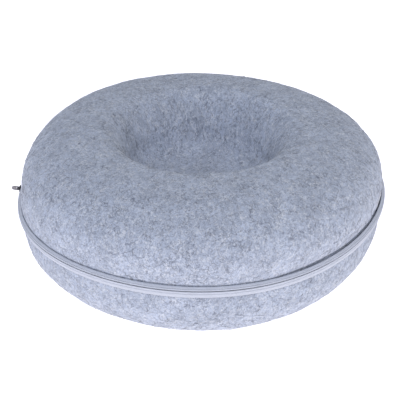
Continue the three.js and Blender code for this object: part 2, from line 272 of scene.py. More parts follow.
def full_quarter(start, end, fullness, steps):
    """A quarter of a full ellipse, from an upright start to a level end, each a radius and a height."""
    turns = [i / steps * math.pi / 2 for i in range(steps + 1)]
    return [
        (
            end[0] + (start[0] - end[0]) * max(0, math.cos(t)) ** (2 / fullness),
            start[1] + (end[1] - start[1]) * math.sin(t) ** (2 / fullness),
        )
        for t in turns
    ]


def band_place(band, from_slit, depth):
    """A place in the zip band, so far from the slit along its face and so deep under that face."""
    side, height, edge_radius = band
    bulge = BAND_RADIUS - edge_radius
    share = from_slit / height
    slope = bulge * BAND_FULLNESS * share ** (BAND_FULLNESS - 1) / height
    inward = depth / math.hypot(1, slope)
    return (
        BAND_RADIUS - bulge * share**BAND_FULLNESS - inward,
        SEAM_HEIGHT + SLIT_RISE + side * (from_slit - slope * inward),
    )


def joint_face(side):
    """The level face of a half where it meets the other half, from its middle out towards the zip."""
    return [(radius, SEAM_HEIGHT + side * CLEARANCE / 2) for radius in JOINT_RADII]


def felt_edge(band, wall_radius, draw_in):
    """The felt from the joint, behind chain and tape, round its turned lip to where the wall begins."""
    side, band_height, _ = band
    behind_chain = BAND_RADIUS - TAPE_THICKNESS - CHAIN_SETBACK - CHAIN_THICKNESS - CLEARANCE
    places = [(behind_chain, SEAM_HEIGHT + side * CLEARANCE / 2)]
    for share in BEHIND_TAPE_SHARES:
        radius, height = band_place(band, share * band_height, TAPE_THICKNESS + 2 * CLEARANCE)
        places.append((min(radius, behind_chain), height))
    lip = SEAM_HEIGHT + SLIT_RISE + side * (band_height + CLEARANCE)
    for rise, share in CURL_SHARES:
        places.append((wall_radius - draw_in * share, lip + side * EDGE_CURL * rise))
    return places


def hollow_section(rim, wall_foot, floor_height, middle_height):
    """The hollow, from beside its rim down its wall and round foot to the middle of its floor."""
    to_floor = math.copysign(1, floor_height - rim[1])
    wall = full_quarter(wall_foot, rim, HOLLOW_FULLNESS, HOLLOW_STEPS)[-2::-1]
    wall = [place for place in wall if to_floor * (floor_height - place[1]) > FLOOR_FILLET]
    wall_end = wall[-1][0]
    turns = [(i + 1) / FILLET_STEPS * math.pi / 2 for i in range(FILLET_STEPS)]
    fillet = [
        (
            wall_end - FLOOR_FILLET * (1 - math.cos(t)),
            floor_height - to_floor * FLOOR_FILLET * (1 - math.sin(t)),
        )
        for t in turns
    ]
    floor_edge = wall_end - FLOOR_FILLET
    level = [
        (floor_edge * share, middle_height + (floor_height - middle_height) * share**2)
        for share in FLOOR_SHARES
    ]
    return wall + fillet + level


def place_in_ring(face):
    """A number that orders a ring's faces by whole degrees round it, and then by height and radius.

    Height and a third of the radius, in metres, stay under 1 together, so the degree comes first.
    """
    x, y, z = face.calc_center_median()
    return math.floor(math.degrees(math.atan2(y, x))) + z + math.hypot(x, y) / 3


def turned_ring(name, section):
    """Turns a section, a chain of radius and height, round the Z axis and lets the ring settle uneven.

    One wedge is spun and then repeated round the axis. The spin leaves the faces in an order that changes
    from run to run, so they are sorted.
    """
    shape = bmesh.new()
    points = [shape.verts.new((radius, 0, height)) for radius, height in section]
    edges = [shape.edges.new(pair) for pair in zip(points, points[1:])]
    bmesh.ops.spin(
        shape,
        geom=points + edges,
        axis=(0, 0, 1),
        cent=(0, 0, 0),
        angle=math.tau / WEDGES,
        steps=ROUND_STEPS // WEDGES,
        use_duplicate=False,
    )
    wedge = shape.verts[:] + shape.edges[:] + shape.faces[:]
    for i in range(1, WEDGES):
        copied = bmesh.ops.duplicate(shape, geom=wedge)["geom"]
        corners = [part for part in copied if isinstance(part, bmesh.types.BMVert)]
        turn = Matrix.Rotation(i * math.tau / WEDGES, 3, "Z")
        bmesh.ops.rotate(shape, verts=corners, cent=(0, 0, 0), matrix=turn)
    bmesh.ops.remove_doubles(shape, verts=shape.verts, dist=SAME_PLACE)
    bmesh.ops.recalc_face_normals(shape, faces=shape.faces)
    shape.faces.sort(key=place_in_ring)
    for vertex in shape.verts:
        vertex.co = settled(vertex.co)
    for face in shape.faces:
        face.smooth = True
    mesh = bpy.data.meshes.new(name)
    shape.to_mesh(mesh)
    shape.free()
    return link_object(name, mesh)


def press_lumps(piece, lowest, highest):
    """Swells and dents the felt softly along its normals, fading out towards the levels given."""
    normals = [vertex.normal.copy() for vertex in piece.data.vertices]
    for vertex, normal in zip(piece.data.vertices, normals):
        place = vertex.co.copy()
        lift = sum(depth * noise.noise(place / spacing) for spacing, depth in LUMPS)
        fade_in = smooth_step(place.z, lowest, lowest + LUMPS_FADE)
        fade_out = smooth_step(-place.z, -highest, LUMPS_FADE - highest)
        vertex.co = place + normal * lift * (fade_in * fade_out)


def work_lip(piece, band, waviness, loose_stretch):
    """Makes the felt's edge along the zip waver, and stand off from the tape over one stretch of it."""
    side, height, _ = band
    lip = SEAM_HEIGHT + SLIT_RISE + side * height
    middle, half_width, lift, depth = loose_stretch
    for vertex in piece.data.vertices:
        x, y, z = vertex.co
        radius = math.hypot(x - RING_CENTRE_X, y)
        angle = math.atan2(y, x - RING_CENTRE_X)
        above = side * (z - wave_sum(SEAM_RISE, angle) - lip)
        if radius < EDGE_INNER_RADIUS or not GROOVE_BEGINS < above < FADED_OUT:
            continue
        fading = 1 - smooth_step(above, FADE_BEGINS, FADED_OUT)
        at_lip = smooth_step(above, LIP_BEGINS, 0)
        in_groove = smooth_step(above, GROOVE_BEGINS, GROOVE_FULL)
        around = Vector((math.cos(angle), math.sin(angle), 0)) * BAND_RADIUS
        waver = sum(share * noise.noise(around / spacing) for spacing, share in WAVER)
        stand_off = 1 - smooth_step(abs(angle - middle), half_width * STAND_OFF_PLATEAU, half_width)
        hollowed = depth * (1 - LIP_SPARED * at_lip) * stand_off
        inward = in_groove * fading * (waviness * (waver + 1) / 2 + hollowed) / radius
        rise = side * at_lip * fading * (waviness * waver + lift * stand_off)
        vertex.co = (x - inward * (x - RING_CENTRE_X), y - inward * y, z + rise)


def lay_felt_pattern(piece, stretch):
    """Gives the felt its pattern's coordinates, drawn out down the hollow's wall where it was stretched."""
    attribute = piece.data.attributes.new("felt_place", "FLOAT_VECTOR", "POINT")
    for vertex, value in zip(piece.data.vertices, attribute.data):
        x, y, z = vertex.co
        radius = math.hypot(x - RING_CENTRE_X, y)
        inside = 1 - smooth_step(radius, CROWN_RADIUS - STRETCH_FADE, CROWN_RADIUS)
        value.vector = (x, y, HEIGHT + (z - HEIGHT) * (1 + (stretch - 1) * inside))


def add_node(tree, kind, inputs=None, **settings):
    """A node with some settings, whose inputs are values or the outputs of other nodes."""
    made = tree.nodes.new(kind)
    for key, value in settings.items():
        setattr(made, key, value)
    for socket, value in (inputs or {}).items():
        if isinstance(value, bpy.types.NodeSocket):
            tree.links.new(value, made.inputs[socket])
        else:
            made.inputs[socket].default_value = value
    return made


def object_place(tree):
    """The place of a point in its piece's own coordinates."""
    return add_node(tree, "ShaderNodeTexCoord").outputs["Object"]


def noise_value(tree, place, scale, detail, roughness=0.5):
    """A soft noise between 0 and 1."""
    inputs = {"Vector": place, "Scale": scale, "Detail": detail, "Roughness": roughness}
    return add_node(tree, "ShaderNodeTexNoise", inputs).outputs["Fac"]


def reckoned(tree, operation, *values):
    """The result of one step of arithmetic."""
    return add_node(tree, "ShaderNodeMath", dict(enumerate(values)), operation=operation).outputs[0]


def remapped(tree, value, source, target, curve="LINEAR"):
    """A value carried from one range, its low and high end, to another."""
    inputs = {"Value": value, "From Min": source[0], "From Max": source[1]}
    inputs.update({"To Min": target[0], "To Max": target[1]})
    return add_node(tree, "ShaderNodeMapRange", inputs, interpolation_type=curve).outputs["Result"]


def shaded(tree, colour, shade):
    """A colour made darker or lighter by a factor."""
    inputs = {0: colour[:3], "Scale": shade}
    return add_node(tree, "ShaderNodeVectorMath", inputs, operation="SCALE").outputs["Vector"]


def blended(tree, share, first, second):
    """A colour between two others."""
    inputs = {"Factor": share, "A": first, "B": second}
    return add_node(tree, "ShaderNodeMix", inputs, data_type="RGBA").outputs["Result"]


def raise_surface(tree, shader, height, strength, distance):
    """Lets a height show as fine relief."""
    inputs = {"Height": height, "Strength": strength, "Distance": distance}
    tree.links.new(add_node(tree, "ShaderNodeBump", inputs).outputs["Normal"], shader.inputs["Normal"])


def fibre_lines(tree, place, seed, spacing, thickness, cover, strength):
    """Thin curling lines where a smooth noise crosses its middle, broken into short fibres by a mask."""
    contour = add_node(
        tree,
        "ShaderNodeTexNoise",
        {
            "Vector": place,
            "W": seed,
            "Scale": 1 / spacing,
            "Detail": 1.5,
            "Roughness": 0.55,
            "Distortion": 0.6,
        },
        noise_dimensions="4D",
    ).outputs["Fac"]
    mask = add_node(
        tree,
        "ShaderNodeTexNoise",
        {
            "Vector": place,
            "W": seed + MASK_PATTERN,
            "Scale": MASK_SCALE / spacing,
            "Detail": 1.0,
            "Roughness": 0.5,
        },
        noise_dimensions="4D",
    ).outputs["Fac"]
    from_middle = reckoned(tree, "ABSOLUTE", reckoned(tree, "SUBTRACT", contour, 0.5))
    line = remapped(tree, from_middle, (0.0, thickness), (1.0, 0.0), "SMOOTHSTEP")
    shown = remapped(tree, mask, (cover, cover + MASK_EDGE), (0.0, strength), "SMOOTHSTEP")
    return reckoned(tree, "MULTIPLY", line, shown)


def felt_material():
    """Heathered felt: soft clouds, a fine grain, and pale and dark fibres that curl over one another."""
    material, tree, shader = new_material("heathered felt")
    place = add_node(tree, "ShaderNodeAttribute", attribute_name="felt_place").outputs["Vector"]
    clouds = noise_value(tree, place, scale=42.0, detail=3.0, roughness=0.6)
    grain = noise_value(tree, place, scale=520.0, detail=3.0, roughness=0.7)
    cloud_shade = remapped(tree, clouds, NOISE_RANGE, (0.86, 1.14))
    grain_shade = remapped(tree, grain, NOISE_RANGE, (0.82, 1.18))
    colour = shaded(tree, FELT_BASE, reckoned(tree, "MULTIPLY", cloud_shade, grain_shade))
    height = grain
    for fibre_colour, fibres in ((FELT_LIGHT, LIGHT_FIBRES), (FELT_DARK, DARK_FIBRES)):
        for fibre in fibres:
            lines = fibre_lines(tree, place, *fibre)
            colour = blended(tree, lines, colour, fibre_colour)
            height = reckoned(tree, "MULTIPLY_ADD", lines, FIBRE_RELIEF, height)
    tree.links.new(colour, shader.inputs["Base Color"])
    raise_surface(tree, shader, height, strength=0.6, distance=0.0006)
    shader.inputs["Roughness"].default_value = 0.95
    shader.inputs["Specular IOR Level"].default_value = 0.2
    shader.inputs["Sheen Weight"].default_value = 0.15
    shader.inputs["Sheen Roughness"].default_value = 0.6
    return material


upper_crown = (CROWN_RADIUS, HEIGHT)
upper_widest = (UPPER_RADIUS, SEAM_HEIGHT + WIDEST_FROM_SEAM)
upper_wall_foot = (HOLLOW_WALL_RADIUS, HOLLOW_WALL_FOOT)
upper_floor = SEAM_HEIGHT + FELT_THICKNESS + FLOOR_SAG
upper_section = (
    joint_face(1)
    + felt_edge(UPPER_BAND, UPPER_RADIUS, UPPER_DRAW_IN)
    + full_quarter(upper_widest, upper_crown, UPPER_FULLNESS, WALL_STEPS)
    + hollow_section(upper_crown, upper_wall_foot, upper_floor, upper_floor - FLOOR_SAG)
)
upper_half = turned_ring("upper_felt", upper_section)
press_lumps(upper_half, SEAM_HEIGHT + LUMPS_FROM_SEAM, ABOVE_ALL)
work_lip(upper_half, UPPER_BAND, UPPER_WAVINESS, UPPER_STAND_OFF)
lay_felt_pattern(upper_half, HOLLOW_STRETCH)
felt = felt_material()
upper_half.data.materials.append(felt)
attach(upper_half, "root")
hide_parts("upper_felt_half")

# The lower half: the same moulding in the same felt, turned over, a little slimmer, and filled. It is
# pressed flat in a ring where it stands, and arches up in its middle as the upper half sinks in.
LOWER_RADIUS = 0.2495
LOWER_FULLNESS = 2.05
LOWER_DRAW_IN = 0.0018
LOWER_WAVINESS = 0.0004
FOOT_HALF_WIDTH = 0.018
LUMPS_FROM_FLOOR = 0.002

foot_out = (CROWN_RADIUS + FOOT_HALF_WIDTH, 0)
foot_in = (CROWN_RADIUS - FOOT_HALF_WIDTH, 0)
lower_widest = (LOWER_RADIUS, SEAM_HEIGHT - WIDEST_FROM_SEAM)
lower_wall_foot = (HOLLOW_WALL_RADIUS, 2 * SEAM_HEIGHT - HOLLOW_WALL_FOOT)
lower_ceiling = SEAM_HEIGHT - FELT_THICKNESS
lower_section = (
    joint_face(-1)
    + felt_edge(LOWER_BAND, LOWER_RADIUS, LOWER_DRAW_IN)
    + full_quarter(lower_widest, foot_out, LOWER_FULLNESS, WALL_STEPS)
    + [(CROWN_RADIUS, 0), foot_in]
    + hollow_section(foot_in, lower_wall_foot, lower_ceiling, lower_ceiling)
)
lower_half = turned_ring("lower_felt", lower_section)
press_lumps(lower_half, LUMPS_FROM_FLOOR, SEAM_HEIGHT - LUMPS_FROM_SEAM)
work_lip(lower_half, LOWER_BAND, LOWER_WAVINESS, NO_STAND_OFF)
lay_felt_pattern(lower_half, 1)
lower_half.data.materials.append(felt)
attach(lower_half, "root")
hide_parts("lower_felt_half")

# The zip's two tapes: strips of close nylon weave in a paler shade than the felt. Each is folded back at
# the slit, bows out over the coil and is sewn along a furrow; its far edge is sewn down behind the felt.
SLIT_HALF = 0.0007
TAPE_ROUND = 0.0004
TAPE_ROUND_STEPS = 4
TAPE_BACK_SHARES = (1, 0.84, 0.65, 0.38)
FURROW_SHARES = {UPPER_BAND: 0.62, LOWER_BAND: 0.36}
FURROW_HALF_WIDTH = 0.0005
FURROW_DEPTH = 0.0006
FURROW_STEPS = 4
TAPE_COLOUR = (0.64, 0.655, 0.70, 1)
WEAVE_PITCH = 0.0007
WEAVE_SHADE = 0.05
STREAK_SCALE = (60, 900, 1)
SEWING_COLOUR = (0.455, 0.468, 0.50, 1)
STITCH_PITCH = 0.0032
STITCH_LENGTH = 0.0025
STITCH_THICKNESS = 0.0004


def between(start, end, shares):
    """Distances from the slit, on the tape's face, at some shares of the way from one to another."""
    return [(start + (end - start) * share, 0) for share in shares]


def tape_section(band):
    """The tape's closed outline: its fold at the slit, its face with the furrow, its edge and its back."""
    height = band[1]
    turns = [i / TAPE_ROUND_STEPS * math.pi / 2 for i in range(TAPE_ROUND_STEPS + 1)]
    fold = [(SLIT_HALF + TAPE_ROUND * (1 - math.cos(t)), TAPE_ROUND * (1 - math.sin(t))) for t in turns]
    middle = FURROW_SHARES[band] * height
    across = [i / FURROW_STEPS for i in range(-FURROW_STEPS, FURROW_STEPS + 1)]
    furrow = [(middle + FURROW_HALF_WIDTH * u, FURROW_DEPTH * (1 - u * u) ** 2) for u in across]
    edge = [(height - TAPE_ROUND * (1 - math.sin(t)), TAPE_ROUND * (1 - math.cos(t))) for t in turns]
    near_face = between(fold[-1][0], furrow[0][0], (0.33, 0.67))
    far_face = between(furrow[-1][0], edge[0][0], (0.2, 0.4, 0.6, 0.8))
    back = [(share * height, TAPE_THICKNESS) for share in TAPE_BACK_SHARES]
    outline = fold + near_face + furrow + far_face + edge + back + [(SLIT_HALF, TAPE_THICKNESS)]
    return [band_place(band, from_slit, depth) for from_slit, depth in outline + outline[:1]]


def lay_along_band(piece):
    """Gives a piece of the band a UV map in metres: round the band, and up from the middle of the zip."""
    along = piece.data.uv_layers.new(name="along_band")
    corners = [vertex.co for vertex in piece.data.vertices]
    for face in piece.data.polygons:
        places = [corners[corner] for corner in face.vertices]
        angles = [math.atan2(place.y, place.x - RING_CENTRE_X) for place in places]
        closes_ring = max(angles) - min(angles) > math.pi
        for loop, place, angle in zip(face.loop_indices, places, angles):
            if closes_ring and angle < 0:
                angle += math.tau
            level = place.z - SEAM_HEIGHT - SLIT_RISE - wave_sum(SEAM_RISE, angle)
            along.data[loop].uv = (angle * BAND_RADIUS, level)


def woven_tape_material():
    """Plain weave in fine rows, with faint streaks along the tape."""
    material, tree, shader = new_material("woven nylon tape")
    along = add_node(tree, "ShaderNodeUVMap", uv_map="along_band").outputs["UV"]
    turns = add_node(
        tree, "ShaderNodeVectorMath", {0: along, "Scale": math.tau / WEAVE_PITCH}, operation="SCALE"
    ).outputs["Vector"]
    split = add_node(tree, "ShaderNodeSeparateXYZ", {0: turns})
    warp = reckoned(tree, "SINE", split.outputs["X"])
    weft = reckoned(tree, "SINE", split.outputs["Y"])
    weave = reckoned(tree, "MULTIPLY", warp, weft)
    drawn = add_node(tree, "ShaderNodeMapping", {"Vector": along, "Scale": STREAK_SCALE}).outputs["Vector"]
    streaks = noise_value(tree, drawn, scale=1.0, detail=3.0)
    streak_shade = remapped(tree, streaks, NOISE_RANGE, (0.94, 1.06))
    shade = reckoned(tree, "MULTIPLY_ADD", weave, WEAVE_SHADE, streak_shade)
    tree.links.new(shaded(tree, TAPE_COLOUR, shade), shader.inputs["Base Color"])
    raise_surface(tree, shader, weave, strength=0.5, distance=0.00012)
    shader.inputs["Roughness"].default_value = 0.6
    shader.inputs["Specular IOR Level"].default_value = 0.35
    shader.inputs["Sheen Weight"].default_value = 0.1
    return material


def mottled_material(name, colour, mottle_scale, spread, roughness):
    """A colour that wanders a little darker and lighter, as the light does on a twisted or wound thread."""
    material, tree, shader = new_material(name)
    clouds = noise_value(tree, object_place(tree), scale=mottle_scale, detail=2.0)
    darker = [(1 - spread) * part for part in colour[:3]] + [1]
    lighter = [(1 + spread) * part for part in colour[:3]] + [1]
    tree.links.new(blended(tree, clouds, darker, lighter), shader.inputs["Base Color"])
    shader.inputs["Roughness"].default_value = roughness
    return material


def joined_copies(name, small, places):
    """Joins a copy of a small mesh at each place, a matrix, to one mesh."""
    shape = bmesh.new()
    for place in places:
        placed = small.copy()
        placed.transform(place)
        shape.from_mesh(placed)
        bpy.data.meshes.remove(placed)
    mesh = bpy.data.meshes.new(name)
    shape.to_mesh(mesh)
    shape.free()
    return link_object(name, mesh)


def capsule(length, width, thickness, sides, rings):
    """A small round-ended bar along Z, width along X and thickness along Y."""
    shape = bmesh.new()
    bmesh.ops.create_uvsphere(shape, u_segments=sides, v_segments=rings, radius=0.5)
    bmesh.ops.scale(shape, verts=shape.verts, vec=(width, thickness, width))
    for vertex in shape.verts:
        vertex.co.z += math.copysign((length - width) / 2, vertex.co.z)
    for face in shape.faces:
        face.smooth = True
    mesh = bpy.data.meshes.new("capsule")
    shape.to_mesh(mesh)
    shape.free()
    return mesh


def band_frames(band, count, from_slit, depth):
    """Frames evenly round the band, each with X out of the band, Y along it and Z up across it."""
    radius, height = band_place(band, from_slit, depth)
    frames = []
    for i in range(count):
        angle = i / count * math.tau
        place = settled(Vector((radius * math.cos(angle), radius * math.sin(angle), height)))
        frames.append(Matrix.Translation(place) @ Matrix.Rotation(angle, 4, "Z"))
    return frames


woven_tape = woven_tape_material()
sewing_thread = mottled_material(
    "sewing thread", SEWING_COLOUR, mottle_scale=1400.0, spread=0.25, roughness=0.6
)
stitch_count = round(math.tau * BAND_RADIUS / STITCH_PITCH)
stitch = capsule(STITCH_LENGTH, STITCH_THICKNESS, STITCH_THICKNESS, sides=5, rings=3)
stitch.transform(Matrix.Rotation(math.pi / 2, 4, "X"))

for band, tape_name in ((UPPER_BAND, "zip_tape_upper"), (LOWER_BAND, "zip_tape_lower")):
    tape = turned_ring(tape_name.replace("zip_tape", "woven_tape"), tape_section(band))
    lay_along_band(tape)
    tape.data.materials.append(woven_tape)
    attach(tape, "root")
    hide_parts(tape_name)
    stitch_places = band_frames(band, stitch_count, FURROW_SHARES[band] * band[1], FURROW_DEPTH)
    stitches = joined_copies(tape_name.replace("zip_tape", "stitches"), stitch, stitch_places)
    stitches.data.materials.append(sewing_thread)
    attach(stitches, "root")

# The zip's coil: one stiff nylon thread wound in some twelve hundred slanting loops and sewn behind the
# tapes' edges, so that only a dark toothed line of it shows through the slit.
LOOP_PITCH = 0.0013
LOOP_WIDTH = 0.0008
LOOP_THICKNESS = 0.0017
LOOP_LENGTH = 0.0040
LOOP_SLANT = math.radians(11)
COIL_DEPTH = TAPE_THICKNESS + CHAIN_SETBACK + CHAIN_THICKNESS / 2
COIL_COLOUR = (0.41, 0.404, 0.43, 1)

loop_count = round(math.tau * (BAND_RADIUS - COIL_DEPTH) / LOOP_PITCH)
coil_loop = capsule(LOOP_LENGTH, LOOP_WIDTH, LOOP_THICKNESS, sides=6, rings=3)
coil_loop.transform(Matrix.Rotation(LOOP_SLANT, 4, "X") @ Matrix.Rotation(math.pi / 2, 4, "Z"))
coil = joined_copies("zip_coil", coil_loop, band_frames(UPPER_BAND, loop_count, 0, COIL_DEPTH))
coil_nylon = mottled_material("coil nylon", COIL_COLOUR, mottle_scale=300.0, spread=0.2, roughness=0.4)
coil.data.materials.append(coil_nylon)
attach(coil, "root")
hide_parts("zip_chain")

# The zip's slider, at the left: a small die casting, coloured near black as painted shade for the
# shadowed gap at the pull's root. Its tapered front plate, the rib that runs in the slit and the bridge
# that holds the pull show; its other plate lies hidden behind the coil.
SLIDER_ANGLE = math.pi
SLIDER_LENGTH = 0.011
SLIDER_HEIGHT = 0.0084
SLIDER_TAIL_HEIGHT = 0.0054
SLIDER_CORNER = 0.0014
SLIDER_PLATE = 0.0013
SLIDER_RIM = 0.0007
SLIDER_EMBOSS = 0.00025
KEEL_SIZE = (0.007, 0.001, 0.0014)
KEEL_OVERLAP = 0.0002
KEEL_ROUNDING = 0.0002
BRIDGE_LENGTH = 0.0076
BRIDGE_HEIGHT = 0.0022
BRIDGE_RISE = 0.0035
BRIDGE_BAR = 0.0011
BRIDGE_LEAN = 0.00055
BRIDGE_OVERLAP = 0.0003
BRIDGE_CORNER = 0.0014
BRIDGE_WINDOW_CORNER = 0.0006
BRIDGE_ROUNDING = 0.0002
METAL_ROUNDING = 0.0003
SLIDER_SHADE_COLOUR = (0.055, 0.055, 0.062)

# How sharply the faces meet, in radians, at an edge that is rounded and at one that is shaded hard
ROUNDED_EDGE = 1
HARD_EDGE = 0.6


def rounded_corner(before, corner, after, radius, steps):
    """Points round one corner of an outline, from the side that comes in to the side that goes out."""
    start = corner + (before - corner).normalized() * radius
    end = corner + (after - corner).normalized() * radius
    shares = [i / steps for i in range(steps + 1)]
    return [start * (1 - t) ** 2 + corner * (2 * t * (1 - t)) + end * t**2 for t in shares]


def rounded_outline(corners, radius, steps=4):
    """An outline through some corners, each of them rounded."""
    places = [Vector(corner) for corner in corners]
    outline = []
    for i, corner in enumerate(places):
        outline += rounded_corner(places[i - 1], corner, places[(i + 1) % len(places)], radius, steps)
    return outline


def cast_plate(outline, hole, thickness, rounding):
    """A flat casting with rounded rims, from Z = 0 to its thickness, with or without a hole."""
    shape = bmesh.new()
    edges = []
    for loop in (outline, hole):
        points = [shape.verts.new((x, y, 0)) for x, y in loop]
        edges += [shape.edges.new((points[i - 1], points[i])) for i in range(len(points))]
    if hole:
        bmesh.ops.triangle_fill(shape, edges=edges, use_beauty=True, use_dissolve=False)
    else:
        bmesh.ops.contextual_create(shape, geom=edges)
    grown = bmesh.ops.extrude_face_region(shape, geom=shape.faces[:], use_keep_orig=True)["geom"]
    front = [part for part in grown if isinstance(part, bmesh.types.BMVert)]
    bmesh.ops.translate(shape, verts=front, vec=(0, 0, thickness))
    bmesh.ops.recalc_face_normals(shape, faces=shape.faces)
    bmesh.ops.bevel(
        shape,
        geom=[edge for edge in shape.edges if edge.calc_face_angle(0) > ROUNDED_EDGE],
        offset=rounding,
        segments=3,
        profile=0.5,
        affect="EDGES",
        material=-1,
    )
    return shape


def emboss(shape, level, rim, step):
    """Raises or sinks a flat face of a casting by a step, leaving a rim round it."""
    faces = [face for face in shape.faces if all(abs(v.co.z - level) < SAME_PLACE for v in face.verts)]
    bmesh.ops.inset_region(shape, faces=faces, thickness=rim, depth=step, use_even_offset=True)


def finished_part(name, shapes, place):
    """Joins the shapes of one casting, carries them to their place and makes them an object."""
    mesh = bpy.data.meshes.new(name)
    whole = bmesh.new()
    for shape in shapes:
        shape.to_mesh(mesh)
        shape.free()
        whole.from_mesh(mesh)
    bmesh.ops.transform(whole, matrix=place, verts=whole.verts)
    for face in whole.faces:
        face.smooth = True
    for edge in whole.edges:
        edge.smooth = edge.calc_face_angle(0) < HARD_EDGE
    whole.to_mesh(mesh)
    whole.free()
    return link_object(name, mesh)


def metal_material(name, colour, roughness, grain_scale):
    """Satin metal: faint drawn streaks, in low relief too, and soft stains that dull it in places."""
    material, tree, shader = new_material(name)
    place = object_place(tree)
    drawn = add_node(tree, "ShaderNodeMapping", {"Vector": place, "Scale": grain_scale}).outputs["Vector"]
    streaks = noise_value(tree, drawn, scale=1.0, detail=4.0)
    stains = noise_value(tree, place, scale=420.0, detail=3.0)
    shade = remapped(tree, reckoned(tree, "ADD", streaks, stains), (0.7, 1.3), (0.8, 1.2))
    dulled = remapped(tree, stains, NOISE_RANGE, (roughness - 0.08, roughness + 0.12))
    tree.links.new(shaded(tree, colour, shade), shader.inputs["Base Color"])
    tree.links.new(dulled, shader.inputs["Roughness"])
    raise_surface(tree, shader, streaks, strength=0.25, distance=0.00004)
    shader.inputs["Metallic"].default_value = 1
    return material


slider_out = Vector((math.cos(SLIDER_ANGLE), math.sin(SLIDER_ANGLE), 0))
slider_up = Vector((0, 0, 1))
slider_foot = settled(slider_out * BAND_RADIUS + slider_up * (SEAM_HEIGHT + SLIT_RISE))
slider_axes = Matrix((slider_up.cross(slider_out), slider_up, slider_out)).transposed().to_4x4()
slider_frame = Matrix.Translation(slider_foot + slider_out * CLEARANCE) @ slider_axes

plate_outline = rounded_outline(
    [
        (-SLIDER_LENGTH / 2, -SLIDER_TAIL_HEIGHT / 2),
        (SLIDER_LENGTH / 2, -SLIDER_HEIGHT / 2),
        (SLIDER_LENGTH / 2, SLIDER_HEIGHT / 2),
        (-SLIDER_LENGTH / 2, SLIDER_TAIL_HEIGHT / 2),
    ],
    SLIDER_CORNER,
)
plate = cast_plate(plate_outline, [], SLIDER_PLATE, METAL_ROUNDING)
emboss(plate, SLIDER_PLATE, SLIDER_RIM, SLIDER_EMBOSS)

keel = bmesh.new()
bmesh.ops.create_cube(keel, size=1)
bmesh.ops.scale(keel, verts=keel.verts, vec=KEEL_SIZE)
bmesh.ops.translate(keel, verts=keel.verts, vec=(0, 0, KEEL_OVERLAP - KEEL_SIZE[2] / 2))
bmesh.ops.bevel(
    keel,
    geom=keel.edges[:],
    offset=KEEL_ROUNDING,
    segments=2,
    profile=0.5,
    affect="EDGES",
    material=-1,
)

bridge_foot = SLIDER_PLATE - BRIDGE_OVERLAP
bridge_top = SLIDER_PLATE + BRIDGE_RISE
bridge_outside = [
    Vector((BRIDGE_LENGTH / 2, bridge_foot)),
    Vector((BRIDGE_LENGTH / 2 - BRIDGE_LEAN, bridge_top)),
    Vector((BRIDGE_LEAN - BRIDGE_LENGTH / 2, bridge_top)),
    Vector((-BRIDGE_LENGTH / 2, bridge_foot)),
]
window_top = bridge_top - BRIDGE_BAR
bridge_window = [
    Vector((BRIDGE_BAR - BRIDGE_LENGTH / 2, bridge_foot)),
    Vector((BRIDGE_BAR + BRIDGE_LEAN - BRIDGE_LENGTH / 2, window_top)),
    Vector((BRIDGE_LENGTH / 2 - BRIDGE_LEAN - BRIDGE_BAR, window_top)),
    Vector((BRIDGE_LENGTH / 2 - BRIDGE_BAR, bridge_foot)),
]
arch = []
for side, corner_radius, corner_steps in (
    (bridge_outside, BRIDGE_CORNER, 5),
    (bridge_window, BRIDGE_WINDOW_CORNER, 4),
):
    arch += side[:1]
    arch += rounded_corner(*side[:3], corner_radius, corner_steps)
    arch += rounded_corner(*side[1:], corner_radius, corner_steps)
    arch += side[3:]
bridge = cast_plate(arch, [], BRIDGE_HEIGHT, BRIDGE_ROUNDING)
bridge_upright = Matrix.Translation((0, BRIDGE_HEIGHT / 2, 0)) @ Matrix.Rotation(math.pi / 2, 4, "X")
bmesh.ops.transform(bridge, matrix=bridge_upright, verts=bridge.verts)

slider = finished_part("slider", [plate, keel, bridge], slider_frame)
# The slider's near-black colour is painted shade, for the shadowed gap at the pull's root
painted_shade_zinc = metal_material("zinc darkened as painted shade", SLIDER_SHADE_COLOUR, roughness=0.34, grain_scale=(600, 90, 600))
slider.data.materials.append(painted_shade_zinc)
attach(slider, "root")
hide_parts("zip_slider")

# The pull: a thin lozenge of grey metal with a raised rim, whose crossbar lies under the slider's bridge.
# It stands out from the zip, because the zip runs level and the pull's weight doesn't lay it down.
PULL_LENGTH = 0.011
PULL_HEIGHT = 0.0064
PULL_ROOT_HEIGHT = 0.0056
PULL_TIP_HEIGHT = 0.0044
PULL_WIDEST = 0.6
PULL_CORNER = 0.0015
PULL_CORNER_STEPS = 6
PULL_THICKNESS = 0.0015
PULL_RIM = 0.00022
PULL_SUNK = 0.00015
PULL_EYE_LENGTH = 0.0028
PULL_EYE_HEIGHT = 0.0029
PULL_EYE_CORNER = 0.0007
PULL_CROSSBAR = 0.0015
PULL_SWING = 0.15
PULL_COLOUR = (0.245, 0.23, 0.235)

pull_root = -PULL_CROSSBAR / 2
pull_tip = pull_root + PULL_LENGTH
pull_widest = pull_root + PULL_LENGTH * PULL_WIDEST
eye_start = PULL_CROSSBAR / 2
eye_end = eye_start + PULL_EYE_LENGTH
tab_outline = rounded_outline(
    [
        (-PULL_ROOT_HEIGHT / 2, pull_root),
        (PULL_ROOT_HEIGHT / 2, pull_root),
        (PULL_HEIGHT / 2, pull_widest),
        (PULL_TIP_HEIGHT / 2, pull_tip),
        (-PULL_TIP_HEIGHT / 2, pull_tip),
        (-PULL_HEIGHT / 2, pull_widest),
    ],
    PULL_CORNER,
    PULL_CORNER_STEPS,
)
eye_outline = rounded_outline(
    [
        (-PULL_EYE_HEIGHT / 2, eye_start),
        (-PULL_EYE_HEIGHT / 2, eye_end),
        (PULL_EYE_HEIGHT / 2, eye_end),
        (PULL_EYE_HEIGHT / 2, eye_start),
    ],
    PULL_EYE_CORNER,
)
tab = cast_plate(tab_outline, eye_outline, PULL_THICKNESS, METAL_ROUNDING)
emboss(tab, PULL_THICKNESS, PULL_RIM, -PULL_SUNK)
emboss(tab, 0, PULL_RIM, -PULL_SUNK)

